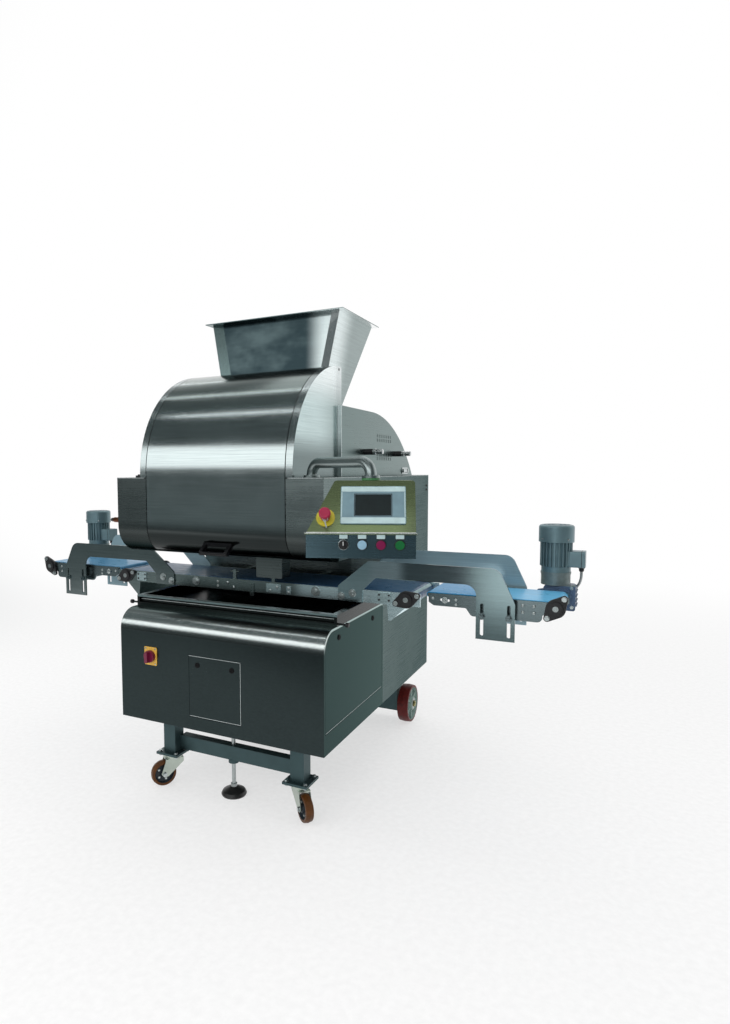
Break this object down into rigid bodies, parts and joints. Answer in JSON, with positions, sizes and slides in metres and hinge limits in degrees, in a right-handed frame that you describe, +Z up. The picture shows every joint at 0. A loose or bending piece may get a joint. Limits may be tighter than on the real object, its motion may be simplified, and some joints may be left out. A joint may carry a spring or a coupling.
{
  "type": "dough divider",
  "caption": "Mobile dough divider: tapered hopper over a pocketed dividing drum, curved front cover, cross belt with height-adjustable outfeed conveyors, crumb tray and swivel control panel.",
  "frame": {"origin": "on the floor, under the middle of the machine's bounding box", "axes": "+X along the conveyors to the operator's right, +Y to the back, +Z up"},
  "size_m": [2.558, 1.6388, 2.046],
  "materials": {
    "stainless": "brushed stainless sheet",
    "pipe": "satin stainless tube",
    "turned_steel": "turned steel",
    "zinc": "bright zinc plate",
    "piston_plastic": "white food-grade plastic",
    "bearing_black": "black plastic",
    "cast_bearing": "cast housing",
    "belt_navy": "dark fabric belt",
    "belt_blue": "bright blue belt",
    "motor_grey": "grey paint",
    "gearbox_grey": "blue-grey paint",
    "galvanised": "plated sheet and modules",
    "caster_brown": "brown polyurethane tread",
    "wheel_red": "red polyurethane tread",
    "hmi_grey": "dark grey plastic",
    "screen": "screen behind gloss film",
    "trim_yellow": "yellow plastic",
    "red_plastic": "red plastic",
    "white_plastic": "white lens",
    "green_plastic": "green lens"
  },
  "bodies": {
    "machine": {"undercarriage": "pipe", "base_housing": "stainless", "side_panels": "stainless", "switch_plate": "trim_yellow", "electrics_plate": "galvanised", "main_housing": "stainless", "rear_cover": "stainless", "cheeks": "stainless", "rear_hood": "stainless", "hood_grips": "zinc", "hopper": "stainless", "head_frame": "stainless", "head_bearings": "cast_bearing", "drive_gearmotor": "motor_grey", "conveyor_frame": "stainless", "central_belt": "belt_navy", "conveyor_bearings": "bearing_black", "belt_guides": "stainless", "brackets": "stainless", "control_arm": "pipe"},
    "front_cover": {"front_cover": "stainless", "cover_handle": "bearing_black"},
    "access_door": {"access_door": "stainless"},
    "switch_knob": {"switch_knob": "red_plastic"},
    "panel": {"panel_box": "stainless", "hmi_bezel": "hmi_grey", "hmi_screen": "screen", "panel_trim": "trim_yellow"},
    "estop_button": {"estop_button": "red_plastic"},
    "selector_knob": {"selector_knob": "bearing_black"},
    "button_white": {"button_white": "white_plastic"},
    "button_red": {"button_red": "red_plastic"},
    "button_green": {"button_green": "green_plastic"},
    "dividing_drum": {"dividing_drum": "turned_steel"},
    "drum_pistons": {"drum_pistons": "piston_plastic"},
    "feed_roller_front": {"feed_roller_front": "turned_steel"},
    "feed_roller_rear": {"feed_roller_rear": "turned_steel"},
    "conveyor_roller_left": {"conveyor_roller_left": "turned_steel"},
    "conveyor_roller_right": {"conveyor_roller_right": "turned_steel"},
    "levelling_foot": {"levelling_foot": "bearing_black"},
    "crumb_tray": {"crumb_tray": "stainless", "tray_knobs": "bearing_black"},
    "outfeed_right": {"outfeed_frame_right": "stainless", "outfeed_belt_right": "belt_blue", "outfeed_bearing_right": "bearing_black", "outfeed_gearbox_right": "gearbox_grey", "outfeed_motor_right": "motor_grey"},
    "outfeed_roller_right": {"outfeed_roller_right": "turned_steel"},
    "caster_right": {"caster_fork_right": "zinc"},
    "caster_wheel_right": {"caster_wheel_right": "caster_brown"},
    "rear_wheel_right": {"rear_wheel_right": "wheel_red"},
    "outfeed_left": {"outfeed_frame_left": "stainless", "outfeed_belt_left": "belt_blue", "outfeed_bearing_left": "bearing_black", "outfeed_gearbox_left": "gearbox_grey", "outfeed_motor_left": "motor_grey"},
    "outfeed_roller_left": {"outfeed_roller_left": "turned_steel"},
    "caster_left": {"caster_fork_left": "zinc"},
    "caster_wheel_left": {"caster_wheel_left": "caster_brown"},
    "rear_wheel_left": {"rear_wheel_left": "wheel_red"}
  },
  "joints": [
    {"name": "front_cover_hinge", "type": "hinge", "parent": "machine", "child": "front_cover", "pos_m": [-0.013, -0.1426, 1.78], "axis": [-1, 0, 0], "range_deg": [0, 60]},
    {"name": "access_door_hinge", "type": "hinge", "parent": "machine", "child": "access_door", "pos_m": [-0.013, -0.5556, 0.387], "axis": [1, 0, 0], "range_deg": [0, 95]},
    {"name": "main_switch_turn", "type": "hinge", "parent": "machine", "child": "switch_knob", "pos_m": [-0.328, -0.5646, 0.6], "axis": [0, 1, 0], "range_deg": [0, 90]},
    {"name": "panel_swivel", "type": "hinge", "parent": "machine", "child": "panel", "pos_m": [0.667, -0.6396, 1.331], "axis": [0, 0, 1], "range_deg": [-12, 87]},
    {"name": "estop_press", "type": "slide", "parent": "panel", "child": "estop_button", "axis": [-0.3074, 0.8446, -0.4384], "range_m": [0, 0.006], "stiffness_N_per_m": 1200},
    {"name": "selector_turn", "type": "hinge", "parent": "panel", "child": "selector_knob", "pos_m": [0.62637, -0.77357, 1.131], "axis": [0.342, -0.9397, 0], "range_deg": [-45, 45]},
    {"name": "button_white_press", "type": "slide", "parent": "panel", "child": "button_white", "axis": [-0.342, 0.9397, 0], "range_m": [0, 0.004], "stiffness_N_per_m": 600},
    {"name": "button_red_press", "type": "slide", "parent": "panel", "child": "button_red", "axis": [-0.342, 0.9397, 0], "range_m": [0, 0.004], "stiffness_N_per_m": 600},
    {"name": "button_green_press", "type": "slide", "parent": "panel", "child": "button_green", "axis": [-0.342, 0.9397, 0], "range_m": [0, 0.004], "stiffness_N_per_m": 600},
    {"name": "drum_spin", "type": "hinge", "parent": "machine", "child": "dividing_drum", "pos_m": [-0.013, -0.1346, 1.21543], "axis": [1, 0, 0], "continuous": true},
    {"name": "piston_stroke", "type": "slide", "parent": "dividing_drum", "child": "drum_pistons", "axis": [0, 0, 1], "range_m": [-0.03, 0.03]},
    {"name": "feed_front_spin", "type": "hinge", "parent": "machine", "child": "feed_roller_front", "pos_m": [-0.013, -0.0866, 1.425], "axis": [1, 0, 0], "continuous": true},
    {"name": "feed_rear_spin", "type": "hinge", "parent": "machine", "child": "feed_roller_rear", "pos_m": [-0.013, 0.0534, 1.425], "axis": [1, 0, 0], "continuous": true},
    {"name": "conveyor_roller_right_spin", "type": "hinge", "parent": "machine", "child": "conveyor_roller_right", "pos_m": [0.677, -0.1331, 0.872], "axis": [0, 1, 0], "continuous": true},
    {"name": "outfeed_right_lift", "type": "slide", "parent": "machine", "child": "outfeed_right", "axis": [0, 0, 1], "range_m": [-0.06, 0.04]},
    {"name": "outfeed_roller_right_spin", "type": "hinge", "parent": "outfeed_right", "child": "outfeed_roller_right", "pos_m": [1.205, -0.1331, 0.881], "axis": [0, 1, 0], "continuous": true},
    {"name": "caster_right_swivel", "type": "hinge", "parent": "machine", "child": "caster_right", "pos_m": [0.297, -0.4296, 0.14], "axis": [0, 0, 1], "continuous": true},
    {"name": "caster_right_roll", "type": "hinge", "parent": "caster_right", "child": "caster_wheel_right", "pos_m": [0.33323, -0.46109, 0.055], "axis": [0.6561, 0.7547, 0], "continuous": true},
    {"name": "rear_wheel_right_roll", "type": "hinge", "parent": "machine", "child": "rear_wheel_right", "pos_m": [0.374, 0.7194, 0.1], "axis": [1, 0, 0], "continuous": true},
    {"name": "conveyor_roller_left_spin", "type": "hinge", "parent": "machine", "child": "conveyor_roller_left", "pos_m": [-0.703, -0.1331, 0.872], "axis": [0, 1, 0], "continuous": true},
    {"name": "outfeed_left_lift", "type": "slide", "parent": "machine", "child": "outfeed_left", "axis": [0, 0, 1], "range_m": [-0.06, 0.04]},
    {"name": "outfeed_roller_left_spin", "type": "hinge", "parent": "outfeed_left", "child": "outfeed_roller_left", "pos_m": [-1.231, -0.1331, 0.881], "axis": [0, 1, 0], "continuous": true},
    {"name": "caster_left_swivel", "type": "hinge", "parent": "machine", "child": "caster_left", "pos_m": [-0.323, -0.4296, 0.14], "axis": [0, 0, 1], "continuous": true},
    {"name": "caster_left_roll", "type": "hinge", "parent": "caster_left", "child": "caster_wheel_left", "pos_m": [-0.35189, -0.46793, 0.055], "axis": [0.7986, -0.6018, 0], "continuous": true},
    {"name": "rear_wheel_left_roll", "type": "hinge", "parent": "machine", "child": "rear_wheel_left", "pos_m": [-0.4, 0.7194, 0.1], "axis": [1, 0, 0], "continuous": true},
    {"name": "levelling_foot_lift", "type": "slide", "parent": "machine", "child": "levelling_foot", "axis": [0, 0, 1], "range_m": [0, 0.05]},
    {"name": "crumb_tray_slide", "type": "slide", "parent": "machine", "child": "crumb_tray", "axis": [0, -1, 0], "range_m": [0, 0.45]}
  ],
  "couplings": [
    {"joint": "feed_front_spin", "follows": "drum_spin", "ratio": -2.0714},
    {"joint": "feed_rear_spin", "follows": "drum_spin", "ratio": 2.0714},
    {"joint": "conveyor_roller_left_spin", "follows": "conveyor_roller_right_spin", "ratio": 1}
  ]
}
